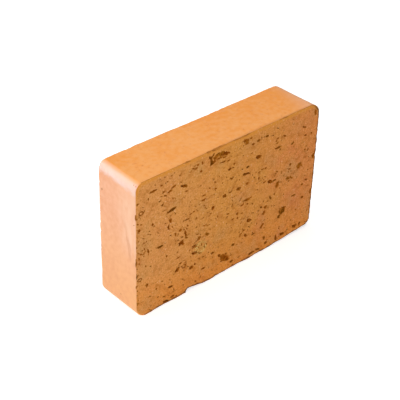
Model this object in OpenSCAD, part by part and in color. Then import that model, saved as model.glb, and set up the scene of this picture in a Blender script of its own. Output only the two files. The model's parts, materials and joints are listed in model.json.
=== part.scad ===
// Refractory brick, extruded through a die and cut to thickness with a wire.
// It stands on its lower stretcher. The origin is the middle of that face.

/* [Brick] */
// Length, from header to header
brick_l = 230; // [215:1:250]
// Height as it stands, from stretcher to stretcher
brick_h = 146; // [143:1:160]
// Thickness, from the front cut face to the back one
brick_t = 51; // [38:1:76]

/* [Die corners] */
// Radius where the left header meets the upper stretcher
upper_left_r = 8; // [4:0.5:20]
// Radius where the right header meets the upper stretcher
upper_right_r = 14.5; // [4:0.5:20]
// Radius where the left header meets the lower stretcher
lower_left_r = 12; // [4:0.5:20]
// Radius where the right header meets the lower stretcher
lower_right_r = 6; // [4:0.5:20]

/* [Rubbed arrises] */
// Radius of the arris around the two cut faces
arris_r = 1.2; // [0.6:0.1:2.4]

/* [Long tears] */
// Length of a long tear in the front cut face
long_tear_l = 10; // [7:0.5:14]
// Width of a long tear at its mouth
long_tear_w = 3; // [1.5:0.25:5]
// Depth of a long tear
long_tear_d = 1.6; // [0.6:0.1:2.4]

/* [Short tears] */
// Length of a short tear in the front cut face
short_tear_l = 6.5; // [5:0.5:9]
// Width of a short tear at its mouth
short_tear_w = 3.5; // [2:0.25:4.5]
// Depth of a short tear
short_tear_d = 1.9; // [0.6:0.1:2.6]

/* [Pulled grog] */
// Width of the pit that a lump of grog left in the front cut face
pit_w = 8.5; // [5:0.5:12]
// Depth of that pit
pit_d = 2.8; // [1:0.1:4]
// Width of the smaller pit that runs into it
tail_w = 4.5; // [2:0.5:6]
// Depth of the smaller pit
tail_d = 1.8; // [0.6:0.1:2.6]

/* [Chipped lower arris] */
// Length of the flake that is off the lower front arris
flake_l = 25; // [15:1:35]
// How far the flake reaches up the cut face at its broken end
flake_reach = 5; // [2:0.5:8]
// Distance from the left header to the broken end of the flake
flake_at = 61; // [50:1:80]
// Length of the worn stretch that ends at the right header
worn_l = 70; // [40:1:90]
// How far the worn stretch reaches up the cut face at the header
worn_reach = 5; // [2:0.5:7]
// Length of the nick near the lower left corner
nick_l = 7; // [4:0.5:10]
// How far the nick reaches up the cut face
nick_reach = 3; // [1:0.25:3.5]
// Distance from the left header to the middle of the nick
nick_at = 35; // [25:1:45]

/* [Dented arrises] */
// Length of the dent in the upper front arris
top_dent_l = 20; // [12:1:28]
// How far that dent reaches down the cut face
top_dent_reach = 1.8; // [1:0.1:3]
// Distance from the left header to the middle of that dent
top_dent_at = 96; // [80:1:110]
// Length of the dents in the right front arris
side_dent_l = 8; // [5:0.5:10]
// How far those dents reach across the cut face
side_dent_reach = 1.5; // [0.8:0.1:2.5]

/* [Hidden] */
$fn = 64;
// Overshoot of a cutter past the face that it cuts
past = 1;
// Places on the front cut face: from the left header, from the lower stretcher, tilt of the tear
long_tears = [[41, 103, 12], [88, 136, 80], [108, 17, -35], [177, 73, 75]];
short_tears = [
    [55, 123, -20], [53, 61, 0], [70, 50, -10], [70, 42, -15], [49, 33, 30],
    [106, 136, -10], [147, 116, -20], [166, 81, -30], [139, 47, -25]
];
pit_at = [188, 39];
tail_at = [183, 33];
// Heights of the dents in the right front arris
side_dents = [117, 97, 86, 44];
// Die corners in order round the section, each with its middle, from the lower right one
corner_r = [lower_right_r, upper_right_r, upper_left_r, lower_left_r];
corner_mid = [
    [brick_l / 2 - lower_right_r, lower_right_r],
    [brick_l / 2 - upper_right_r, brick_h - upper_right_r],
    [upper_left_r - brick_l / 2, brick_h - upper_left_r],
    [lower_left_r - brick_l / 2, lower_left_r]
];
// Straight run of the section that leads to each of those corners
side_run = [
    brick_l - lower_left_r - lower_right_r,
    brick_h - lower_right_r - upper_right_r,
    brick_l - upper_right_r - upper_left_r,
    brick_h - upper_left_r - lower_left_r
];

// The brick is worked on lying on its back: X along it, Y up its height, Z out of the front face

// What a rounding of radius r takes off a square corner at the origin
module corner_waste(r) {
    difference() {
        translate([-past, -past]) square(r + past);
        translate([r, r]) circle(r);
    }
}

// Section that the die gives, with a radius of its own at each corner
module die_section() {
    difference() {
        translate([-brick_l / 2, 0]) square([brick_l, brick_h]);
        for (i = [0 : 3])
            translate(corner_mid[i])
                rotate(90 * i - 90)
                    translate([corner_r[i], corner_r[i]])
                        rotate(180) corner_waste(corner_r[i]);
    }
}

// Waste of the rubbed arris, seen across it, with the side of the brick at the given distance
module arris_waste(side) {
    translate([side, brick_t / 2]) rotate(180) corner_waste(arris_r);
}

// Rubbed arris all round one cut face: a straight run and then a turned corner, four times
module rubbed_arris() {
    for (i = [0 : 3])
        translate(corner_mid[i]) rotate(90 * i - 90) {
            rotate([90, 0, 0]) linear_extrude(side_run[i]) arris_waste(corner_r[i]);
            rotate_extrude(angle = 90) arris_waste(corner_r[i]);
        }
}

// Torn pocket with round ends, its mouth in the plane Z = 0 and its length along X
module tear(long, wide, deep) {
    ball_r = (wide * wide / 4 + deep * deep) / (2 * deep);
    run = long - wide;
    translate([0, 0, ball_r - deep]) {
        rotate([0, 90, 0]) cylinder(h = run, r = ball_r, center = true);
        for (end = [-run / 2, run / 2]) translate([end, 0, 0]) sphere(ball_r);
    }
}

// Round pocket that a pulled lump leaves
module pit(wide, deep) {
    ball_r = (wide * wide / 4 + deep * deep) / (2 * deep);
    translate([0, 0, ball_r - deep]) sphere(ball_r);
}

// Radius of a cutter that stands off both faces of an arris and still reaches so far into them
function break_r(reach) = sqrt(pow(reach + past, 2) + past * past);

// Flake off an arris that runs along X, widening or narrowing from one reach to the other
module flake(run, reach_from, reach_to) {
    translate([0, -past, past])
        rotate([0, 90, 0]) cylinder(h = run, r1 = break_r(reach_from), r2 = break_r(reach_to));
}

// Shallow dent centred on an arris that runs along X, with the brick at +Y and -Z of it
module dent(long, reach) {
    off = (long * long / 4 - reach * reach) / (2 * reach);
    translate([0, -off, off]) sphere(sqrt(long * long / 4 + 2 * off * off));
}

// Tears and pits of the front cut face
module torn_face() {
    for (at = long_tears)
        translate([at[0], at[1], 0]) rotate(at[2]) tear(long_tear_l, long_tear_w, long_tear_d);
    for (at = short_tears)
        translate([at[0], at[1], 0]) rotate(at[2]) tear(short_tear_l, short_tear_w, short_tear_d);
    translate(pit_at) pit(pit_w, pit_d);
    translate(tail_at) pit(tail_w, tail_d);
}

// Damage to the arrises of the front cut face
module chipped_arrises() {
    translate([flake_at, 0, 0]) flake(flake_l, flake_reach, 0);
    translate([brick_l - worn_l, 0, 0]) flake(worn_l + past, 0, worn_reach);
    translate([nick_at, 0, 0]) dent(nick_l, nick_reach);
    translate([top_dent_at, brick_h, 0]) rotate(180) dent(top_dent_l, top_dent_reach);
    for (up = side_dents)
        translate([brick_l, up, 0]) rotate(90) dent(side_dent_l, side_dent_reach);
}

// Brick as cut and handled, with nothing torn or chipped yet
module sound_brick() {
    difference() {
        linear_extrude(brick_t, center = true) die_section();
        rubbed_arris();
        mirror([0, 0, 1]) rubbed_arris();
    }
}

module brick() {
    color([0.80, 0.53, 0.29])
        rotate([90, 0, 0])
            difference() {
                difference() {
                    sound_brick();
                    translate([-brick_l / 2, 0, brick_t / 2]) torn_face();
                }
                translate([-brick_l / 2, 0, brick_t / 2]) chipped_arrises();
            }
}

brick();
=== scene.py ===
import functools
import json
import math
import random

import bmesh
import bpy
from mathutils import Matrix, Vector, kdtree, noise

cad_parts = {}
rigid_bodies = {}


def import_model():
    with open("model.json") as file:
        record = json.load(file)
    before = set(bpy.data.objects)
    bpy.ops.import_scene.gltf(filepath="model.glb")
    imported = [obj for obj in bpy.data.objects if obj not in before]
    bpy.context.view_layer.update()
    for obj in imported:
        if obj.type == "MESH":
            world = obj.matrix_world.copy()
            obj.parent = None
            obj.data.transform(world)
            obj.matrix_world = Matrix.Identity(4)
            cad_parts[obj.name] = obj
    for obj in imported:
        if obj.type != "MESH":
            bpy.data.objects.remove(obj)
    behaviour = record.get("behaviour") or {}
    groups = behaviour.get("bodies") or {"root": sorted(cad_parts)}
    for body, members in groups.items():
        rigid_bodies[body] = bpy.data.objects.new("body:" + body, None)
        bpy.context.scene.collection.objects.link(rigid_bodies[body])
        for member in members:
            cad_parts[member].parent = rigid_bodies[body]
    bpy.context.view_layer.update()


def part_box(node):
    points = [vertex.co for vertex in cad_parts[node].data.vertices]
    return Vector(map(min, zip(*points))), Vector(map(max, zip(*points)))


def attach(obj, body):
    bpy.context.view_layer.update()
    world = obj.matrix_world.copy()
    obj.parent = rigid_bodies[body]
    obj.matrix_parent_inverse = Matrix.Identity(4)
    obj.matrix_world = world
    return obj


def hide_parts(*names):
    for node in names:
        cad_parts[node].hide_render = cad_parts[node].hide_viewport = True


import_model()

mm = 0.001
brickLow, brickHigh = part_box("brick")
halfLength = (brickHigh.x - brickLow.x) / 2
halfThick = (brickHigh.y - brickLow.y) / 2
height = brickHigh.z - brickLow.z


# Camera

cameraSetup = {
    "azimuth": -43.36,  # degrees, from the front round to the left
    "elevation": 34.06,
    "roll": 1.88,
    "distance": 0.9851,
    "target": (-0.01648, 0, 0.07548),
    "focalPixels": 1049.65,  # focal length in pixels of the picture
    "pictureWidth": 400,
    "sensor": 36,
}


def addCamera(setup):
    azimuth, elevation, roll = (math.radians(setup[key]) for key in ("azimuth", "elevation", "roll"))
    back = Vector((
        math.sin(azimuth) * math.cos(elevation),
        -math.cos(azimuth) * math.cos(elevation),
        math.sin(elevation),
    ))
    right = Vector((0, 0, 1)).cross(back).normalized()
    up = back.cross(right)
    right, up = (
        math.cos(roll) * right + math.sin(roll) * up,
        math.cos(roll) * up - math.sin(roll) * right,
    )
    data = bpy.data.cameras.new("photoCamera")
    data.sensor_width = setup["sensor"]
    data.lens = setup["focalPixels"] / setup["pictureWidth"] * setup["sensor"]
    camera = bpy.data.objects.new("photoCamera", data)
    bpy.context.collection.objects.link(camera)
    turn = Matrix((right, up, back)).transposed().to_4x4()
    camera.matrix_world = Matrix.Translation(Vector(setup["target"]) + back * setup["distance"]) @ turn
    bpy.context.scene.camera = camera


addCamera(cameraSetup)
print("camera placed")


# Colours and nodes

def fromHex(code):
    channels = [int(code[at:at + 2], 16) / 255 for at in (0, 2, 4)]
    return (*[c / 12.92 if c <= 0.04045 else ((c + 0.055) / 1.055) ** 2.4 for c in channels], 1)


# Inputs and output of a colour mix, as numbered on the Mix node
mixA, mixB, mixResult = 6, 7, 2


def addNode(tree, kind, sockets=None, **settings):
    # Returns the node's output that is of use next, or the node where there are several or none
    node = tree.nodes.new("ShaderNode" + kind)
    for name, value in settings.items():
        setattr(node, name, value)
    for name, value in (sockets or {}).items():
        if isinstance(value, bpy.types.NodeSocket):
            tree.links.new(value, node.inputs[name])
        else:
            node.inputs[name].default_value = value
    if kind == "Mix":
        return node.outputs[mixResult if settings.get("data_type") == "RGBA" else 0]
    several = kind in ("TexCoord", "SeparateXYZ", "SeparateColor", "TexVoronoi", "LightPath", "Attribute")
    return node if several or not node.outputs else node.outputs[0]


def perMm(size):
    # Scale of a pattern whose features are so many millimetres across
    return 1 / (size * mm)


def newMaterial(name):
    # Returns the material, what adds a node to it, and where a point is and which way it faces
    material = bpy.data.materials.new(name)
    material.use_nodes = True
    material.node_tree.nodes.clear()
    add = functools.partial(addNode, material.node_tree)
    place = add("TexCoord")
    return material, add, place.outputs["Object"], place.outputs["Normal"]


def limited(add, amount, *limits):
    # An amount that each limit, from 0 to 1, holds down
    for limit in limits:
        amount = add("Math", {0: amount, 1: limit}, operation="MULTIPLY")
    return amount


def layColours(add, colour, setup, *layers):
    # Lays the setup's colours over one another, each by its own amount from 0 to 1
    for amount, tint in layers:
        colour = add("Mix", {0: amount, mixA: colour, mixB: fromHex(setup[tint])}, data_type="RGBA")
    return colour


def spotsInCells(add, where, spacing, edge, strength, channel, rarity):
    # A round spot in some cells of a pattern, starting and full at two distances from its middle
    cells = add("TexVoronoi", {"Vector": where, "Scale": perMm(spacing)}).outputs
    spot = add("MapRange", {
        "Value": cells["Distance"], "From Min": edge[0], "From Max": edge[1], "To Max": strength,
    })
    pick = add("SeparateColor", {0: cells["Color"]}).outputs
    some = add("Math", {0: pick[channel], 1: rarity}, operation="GREATER_THAN")
    return limited(add, spot, some)


def aroundSpot(add, at, spot, reach):
    # 1 on the front cut face around a spot, given along and up in millimetres
    squares = []
    for output, place in zip((at[0], at[2]), spot):
        away = add("Math", {0: output, 1: place * mm}, operation="SUBTRACT")
        squares.append(add("Math", {0: away, 1: 2}, operation="POWER"))
    far = add("Math", {0: squares[0], 1: squares[1]}, operation="ADD")
    near = add("MapRange", {
        "Value": far, "From Min": (reach * mm) ** 2, "From Max": (0.6 * reach * mm) ** 2,
    })
    front = add("Math", {0: at[1], 1: 0.0}, operation="LESS_THAN")
    return limited(add, near, front)


def finishMaterial(add, colour, roughness, relief, sheen):
    shader = add("BsdfPrincipled", {
        "Base Color": colour, "Roughness": roughness, "Normal": relief, "Specular IOR Level": sheen,
    })
    add("OutputMaterial", {"Surface": shader})


# Fired clay, die skin: fireclay that slid out through a steel die, so its grit is pressed under a
# close slip with a slight sheen. The kiln left the headers paler and pinker than the stretchers.

dieSkin = {
    "stretcher": "F8A95A",
    "stretcherDeep": "F59A3C",
    "stretcherPale": "F3B58A",  # towards the right header
    "fleck": "E07F40",  # reddish flecks in the stretchers
    "headerHigh": "F7B68C",
    "headerLow": "F7B375",
    "headerDeep": "EA9E70",
    "filmAndHighlight": "F9D6C8",  # whitish film on the upper left corner, where the die ran tight, with a painted highlight laid in it
    "scuff": "FCC9A4",
    "scratch": "E2986C",
    "rubbed": "B56B2A",
    "iron": "D8763A",
    "cloudSize": 38,  # mm, as all sizes here
    "mottleSize": 5,
    "mottleDepth": 0.4,
    "fleckSize": 3,
    "strokeSize": 6,
    "dragLineWidth": 0.9,
    "dragLineDepth": 0.1,
    "gritSize": 0.5,
    "gritDepth": 0.12,
    "ironSpacing": 11,
    "filmAndHighlightPeak": 140,  # height of the lower edge of the film and painted highlight
    "filmAndHighlightFade": 6,
    "scratchFoot": (-18.2, 60),  # across and up, and the same for its top
    "scratchTop": (-9, 108),
    "scratchWidth": (0.3, 2.2),  # from its dark middle to where it ends
    "scratchFades": (8, 25),  # at its foot and at its top
    "scratchWobble": 2.5,
    "rubbedWidth": 3.2,
    "roughness": (0.46, 0.62),
    "polished": 0.56,
    "sheen": 0.5,
}


def skinColour(add, where, at, sideways, clouds, mottled, setup):
    # Stretchers and headers in their own colours, deeper towards the back and the right
    cloudy = add("MapRange", {"Value": clouds, "From Min": 0.35, "From Max": 0.65, "To Max": 0.6})
    behind = add("MapRange", {
        "Value": at[1], "From Min": -halfThick, "From Max": halfThick, "To Min": -0.2, "To Max": 0.4,
    })
    right = add("MapRange", {
        "Value": at[0], "From Min": -0.6 * halfLength, "From Max": halfLength, "To Min": -0.1, "To Max": 0.5,
    })
    tone = add("Math", {0: cloudy, 1: mottled}, operation="ADD")
    tone = add("Math", {0: tone, 1: behind}, operation="ADD")
    tone = add("Math", {0: tone, 1: right}, operation="ADD", use_clamp=True)
    flecks = add("TexNoise", {"Vector": where, "Scale": perMm(setup["fleckSize"]), "Detail": 2})
    flecks = add("MapRange", {"Value": flecks, "From Min": 0.6, "From Max": 0.78, "To Max": 0.5})
    towards = add("Math", {0: at[1], 1: -0.3, 2: at[0]}, operation="MULTIPLY_ADD")
    pale = add("MapRange", {
        "Value": towards, "From Min": 0.74 * halfLength, "From Max": 0.95 * halfLength, "To Max": 0.6,
    }, interpolation_type="SMOOTHSTEP")
    onStretcher = layColours(add, fromHex(setup["stretcher"]), setup, (tone, "stretcherDeep"),
                             (flecks, "fleck"), (pale, "stretcherPale"))
    rise = add("MapRange", {"Value": at[2], "From Min": 0.15 * height, "From Max": 0.75 * height})
    tone = add("Math", {0: tone, 1: 0.6}, operation="MULTIPLY")
    onHeader = layColours(add, fromHex(setup["headerLow"]), setup, (rise, "headerHigh"), (tone, "headerDeep"))
    header = add("MapRange", {
        "Value": sideways, "From Min": 0.5, "From Max": 0.75,
    }, interpolation_type="SMOOTHSTEP")
    return add("Mix", {0: header, mixA: onStretcher, mixB: onHeader}, data_type="RGBA")


def skinMarks(add, where, at, setup):
    # A pale scuffed band up the front edge of the left header, and a long scratch that leans across it
    onLeft = add("MapRange", {"Value": at[0], "From Min": -0.98 * halfLength, "From Max": -halfLength})
    brushed = add("Mapping", {"Vector": where, "Scale": (1, 1, 0.3), "Rotation": (0.19, 0, 0)})
    strokes = add("TexNoise", {"Vector": brushed, "Scale": perMm(setup["strokeSize"]), "Detail": 4})
    wide = setup["scratchWobble"] * mm
    wobble = add("MapRange", {
        "Value": strokes, "From Min": 0.3, "From Max": 0.7, "To Min": -wide, "To Max": wide,
    })
    strokes = add("MapRange", {"Value": strokes, "From Min": 0.3, "From Max": 0.6, "To Min": 0.2})
    nearFront = add("MapRange", {
        "Value": at[1], "From Min": 0.15 * halfThick, "From Max": -0.55 * halfThick,
    }, interpolation_type="SMOOTHSTEP")
    middle = add("MapRange", {"Value": at[2], "From Min": 0.42 * height, "From Max": 0.58 * height})
    lessAbove = add("MapRange", {
        "Value": at[2], "From Min": 0.92 * height, "From Max": 0.8 * height, "To Min": 0.4, "To Max": 0.9,
    })
    scuffed = limited(add, strokes, nearFront, middle, lessAbove, onLeft)
    (footAcross, footUp), (topAcross, topUp) = setup["scratchFoot"], setup["scratchTop"]
    slope = (topAcross - footAcross) / (topUp - footUp)
    away = add("Math", {
        0: at[2], 1: -slope, 2: (slope * footUp - footAcross) * mm,
    }, operation="MULTIPLY_ADD")
    away = add("Math", {0: away, 1: at[1]}, operation="ADD")
    away = add("Math", {0: away, 1: wobble}, operation="ADD")
    away = add("Math", {0: away}, operation="ABSOLUTE")
    (core, edge), (fromFoot, fromTop) = setup["scratchWidth"], setup["scratchFades"]
    scratch = add("MapRange", {"Value": away, "From Min": edge * mm, "From Max": core * mm, "To Max": 0.6})
    above = add("MapRange", {
        "Value": at[2], "From Min": footUp * mm, "From Max": (footUp + fromFoot) * mm,
    })
    under = add("MapRange", {"Value": at[2], "From Min": topUp * mm, "From Max": (topUp - fromTop) * mm})
    return scuffed, limited(add, scratch, above, under, onLeft)


def cornerFilmAndHighlight(add, at, sideways, mottle, mottled, setup):
    # A whitish film with a painted highlight in it: it sets in quickly below the stretcher, thickens
    # downwards and ends where the header is flat
    lean = add("Math", {0: at[1], 1: 0.006 / mm, 2: sideways}, operation="MULTIPLY_ADD")
    setIn = add("MapRange", {"Value": lean, "From Min": 0.2, "From Max": 0.66, "To Max": 0.55})
    thicken = add("MapRange", {"Value": lean, "From Min": 0.66, "From Max": 1.0, "To Max": 0.45})
    filmAndHighlight = add("Math", {0: setIn, 1: thicken}, operation="ADD")
    lower = add("Math", {0: at[1], 1: -0.07, 2: at[2]}, operation="MULTIPLY_ADD")
    lower = add("Math", {0: mottled, 1: 4 * mm, 2: lower}, operation="MULTIPLY_ADD")
    peak, fade = setup["filmAndHighlightPeak"], setup["filmAndHighlightFade"]
    ending = add("MapRange", {
        "Value": lower, "From Min": (peak - fade) * mm, "From Max": peak * mm,
    }, interpolation_type="SMOOTHSTEP")
    patchy = add("MapRange", {"Value": mottle, "From Min": 0.3, "From Max": 0.6, "To Min": 0.75})
    farLeft = add("MapRange", {"Value": at[0], "From Min": 0, "From Max": -0.5 * halfLength})
    return limited(add, filmAndHighlight, ending, patchy, farLeft)


def rubbedEdge(add, at, normal, clouds, setup):
    # The skin is rubbed brown beside the upper front arris
    edge = add("Math", {0: clouds, 1: 3 * mm, 2: at[1]}, operation="MULTIPLY_ADD")
    rubbed = add("MapRange", {
        "Value": edge, "To Max": 0.6,
        "From Min": (1.5 + setup["rubbedWidth"]) * mm - halfThick, "From Max": 1.6 * mm - halfThick,
    })
    onTop = add("MapRange", {"Value": normal[2], "From Min": 0.5, "From Max": 0.8})
    handled = add("MapRange", {
        "Value": at[0], "From Min": -0.6 * halfLength, "From Max": -0.1 * halfLength, "To Min": 0.25,
    })
    return limited(add, rubbed, onTop, handled)


def makeDieSkin(setup):
    material, add, where, facing = newMaterial("firedClayDieSkin")
    at = add("SeparateXYZ", {0: where}).outputs
    normal = add("SeparateXYZ", {0: facing}).outputs
    sideways = add("Math", {0: normal[0]}, operation="ABSOLUTE")
    clouds = add("TexNoise", {"Vector": where, "Scale": perMm(setup["cloudSize"]), "Detail": 3})
    mottle = add("TexNoise", {"Vector": where, "Scale": perMm(setup["mottleSize"]), "Detail": 4})
    mottled = add("MapRange", {
        "Value": mottle, "From Min": 0.3, "From Max": 0.7, "To Min": -0.45, "To Max": 0.45,
    })
    colour = skinColour(add, where, at, sideways, clouds, mottled, setup)
    scuffed, scratch = skinMarks(add, where, at, setup)
    # Partly a whitish film and partly a painted highlight on the upper left corner
    filmAndHighlight = cornerFilmAndHighlight(add, at, sideways, mottle, mottled, setup)
    rubbed = rubbedEdge(add, at, normal, clouds, setup)
    iron = spotsInCells(add, where, setup["ironSpacing"], edge=(0.12, 0.04), strength=0.6,
                        channel=0, rarity=0.62)  # sparse specks
    colour = layColours(add, colour, setup, (scuffed, "scuff"), (scratch, "scratch"), (filmAndHighlight, "filmAndHighlight"),
                        (rubbed, "rubbed"), (iron, "iron"))
    # The die polishes the rounded corners
    upright = add("Math", {0: normal[2]}, operation="ABSOLUTE")
    corner = add("Math", {0: sideways, 1: upright}, operation="MULTIPLY")
    corner = add("MapRange", {
        "Value": corner, "From Min": 0.12, "From Max": 0.48,
    }, interpolation_type="SMOOTHSTEP")
    roughness = add("MapRange", {
        "Value": mottle, "From Min": 0.3, "From Max": 0.7,
        "To Min": setup["roughness"][0], "To Max": setup["roughness"][1],
    })
    roughness = add("Mix", {0: corner, 2: roughness, 3: setup["polished"]})
    # Drag lines run through the thickness, the way the clay left the die
    stretch = add("Mapping", {"Vector": where, "Scale": (1, 0.03, 1)})
    lines = add("TexNoise", {"Vector": stretch, "Scale": perMm(setup["dragLineWidth"]), "Detail": 2})
    grit = add("TexNoise", {"Vector": where, "Scale": perMm(setup["gritSize"]), "Detail": 2})
    relief = add("Bump", {"Height": mottle, "Strength": 0.3, "Distance": setup["mottleDepth"] * mm})
    for pattern, strength, depth in ((lines, 0.2, "dragLineDepth"), (grit, 0.3, "gritDepth")):
        relief = add("Bump", {
            "Height": pattern, "Strength": strength, "Distance": setup[depth] * mm, "Normal": relief,
        })
    finishMaterial(add, colour, roughness, relief, setup["sheen"])
    return material


# Fired clay, wire cut: the wire drags the grit about, so the face is open, dull and grainy. It is
# golden ochre, a little pinker on the left and redder where the kiln was hotter.

wireCut = {
    "left": "DE9751",
    "middle": "DD9544",
    "right": "E08C47",
    # painted bounce light from the floor: lighter and more orange towards the foot
    "foot": "E9933A",
    "rim": "DD9038",
    "ashy": "CC9254",  # greyer patches
    "rusty": "DA8048",
    # painted shade on the right and lower arrises
    "edgeShade": "543006",
    "tearRim": "B87830",  # darker, browner rims round the tears
    "grogPale": "F4C496",
    "proud": "F2B67C",  # painted light on the grains that stand out of the face
    "sulphur": "ECD27C",  # yellowish crumbs round one group of tears
    "sulphurAt": (-38, 45.5),  # along and up, mm, as all sizes here
    "sulphurReach": 9,
    "creamAt": (-80, 110),  # more crumbs of grog show here
    "creamReach": 24,
    # painted shade in pinholes too small to model
    "pinhole": "8E4600",
    "shadeTint": "D8C48C",
    "lightTint": "FFFFFF",
    "cloudSize": 24,
    "cloudDrift": 30,
    "mottleSize": 6,
    "mottleDepth": 0.5,
    "grainSize": 1.7,
    "grainDepth": 0.35,
    "sulphurSize": 1.6,
    "grogSpacing": 3,
    "pinholeSpacing": 2.2,
    "pinholeDepth": 0.5,
    "pinholeTilt": -20,
    "rimWidth": 4.4,
    "edgeShadeWidth": 1.9,
    "edgeShadeRagged": (-0.6, 0.6),
    "tearRimWidth": 0.9,
    "tearRimRagged": (-0.4, 0.5),
    "roughness": (0.82, 0.96),
    "sheen": 0.2,
}


def cutColour(add, at, clouds, patches, setup):
    # Body colour drifts from left to right, with greyer and redder patches, and towards the foot it is
    # painted lighter and more orange as painted bounce light from the floor
    far = setup["cloudDrift"] * mm
    drift = add("MapRange", {
        "Value": clouds, "From Min": 0.3, "From Max": 0.7, "To Min": -far, "To Max": far,
    })
    along = add("Math", {0: at[0], 1: drift}, operation="ADD")
    layers = []
    for tint, start, end in (("middle", -0.85, -0.1), ("right", 0.1, 0.9)):
        zone = add("MapRange", {"Value": along, "From Min": start * halfLength, "From Max": end * halfLength})
        layers.append((zone, tint))
    # Painted bounce light from the floor, strongest at the foot
    footBounceLight = add("MapRange", {
        "Value": at[2], "From Min": 0.3 * height, "From Max": 0.05 * height, "To Max": 0.8,
    })
    ashy = add("MapRange", {"Value": clouds, "From Min": 0.52, "From Max": 0.7, "To Max": 0.6})
    rusty = add("MapRange", {"Value": patches, "From Min": 0.52, "From Max": 0.7, "To Max": 0.7})
    hot = add("MapRange", {"Value": at[0], "From Min": 0, "From Max": 0.9 * halfLength, "To Min": 0.25})
    layers += [(footBounceLight, "foot"), (ashy, "ashy"), (limited(add, rusty, hot), "rusty")]
    return layColours(add, fromHex(setup["left"]), setup, *layers)


def raggedRim(add, attribute, pattern, spread, width, inner, strength):
    # Strongest at what an attribute measures from, with a ragged end at about the width
    distance = add("Attribute", attribute_name=attribute).outputs["Fac"]
    ragged = add("MapRange", {
        "Value": pattern, "From Min": 0.35, "From Max": 0.65,
        "To Min": spread[0] * mm, "To Max": spread[1] * mm,
    })
    ragged = add("Math", {0: distance, 1: ragged}, operation="ADD")
    return add("MapRange", {
        "Value": ragged, "From Min": width * mm, "From Max": inner * mm, "To Max": strength,
    })


def edgeShadeAndTearRims(add, at, mottle, grain, setup):
    # Painted shade along the broken edge of the right and lower arrises, which face away from the lamps, and
    # darker rims round the tears
    # Painted shade: dark brown near the broken arrises on the right and at the foot
    edgeShade = raggedRim(add, "fromBreak", mottle, setup["edgeShadeRagged"], setup["edgeShadeWidth"],
                      inner=0.3, strength=0.85)
    nearRight = add("MapRange", {"Value": at[0], "From Min": 0.9 * halfLength, "From Max": 0.95 * halfLength})
    nearFoot = add("MapRange", {"Value": at[2], "From Min": 10 * mm, "From Max": 7 * mm})
    outer = add("Math", {0: nearRight, 1: nearFoot}, operation="MAXIMUM")
    tearRim = raggedRim(add, "fromTear", grain, setup["tearRimRagged"], setup["tearRimWidth"],
                        inner=0.0, strength=0.4)
    return limited(add, edgeShade, outer), tearRim


def cutCrumbs(add, where, at, mottle, patches, setup):
    # Yellowish crumbs round one group of tears, and pale crumbs of grog
    yellow = add("TexNoise", {"Vector": where, "Scale": perMm(setup["sulphurSize"]), "Detail": 2})
    yellow = add("MapRange", {"Value": yellow, "From Min": 0.49, "From Max": 0.55, "To Max": 0.9})
    near = aroundSpot(add, at, setup["sulphurAt"], setup["sulphurReach"])
    uneven = add("MapRange", {"Value": mottle, "From Min": 0.38, "From Max": 0.52, "To Min": 0.55})
    yellow = limited(add, yellow, near, uneven)
    near = aroundSpot(add, at, setup["creamAt"], setup["creamReach"])
    rarity = add("Math", {0: near, 1: -0.35, 2: 0.82}, operation="MULTIPLY_ADD")
    grog = spotsInCells(add, where, setup["grogSpacing"], edge=(0.3, 0.12), strength=0.6,
                        channel=0, rarity=rarity)
    uneven = add("MapRange", {"Value": patches, "From Min": 0.42, "From Max": 0.56, "To Min": 0.3})
    uneven = add("Math", {0: uneven, 1: near}, operation="MAXIMUM")
    return yellow, limited(add, grog, uneven)


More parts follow.
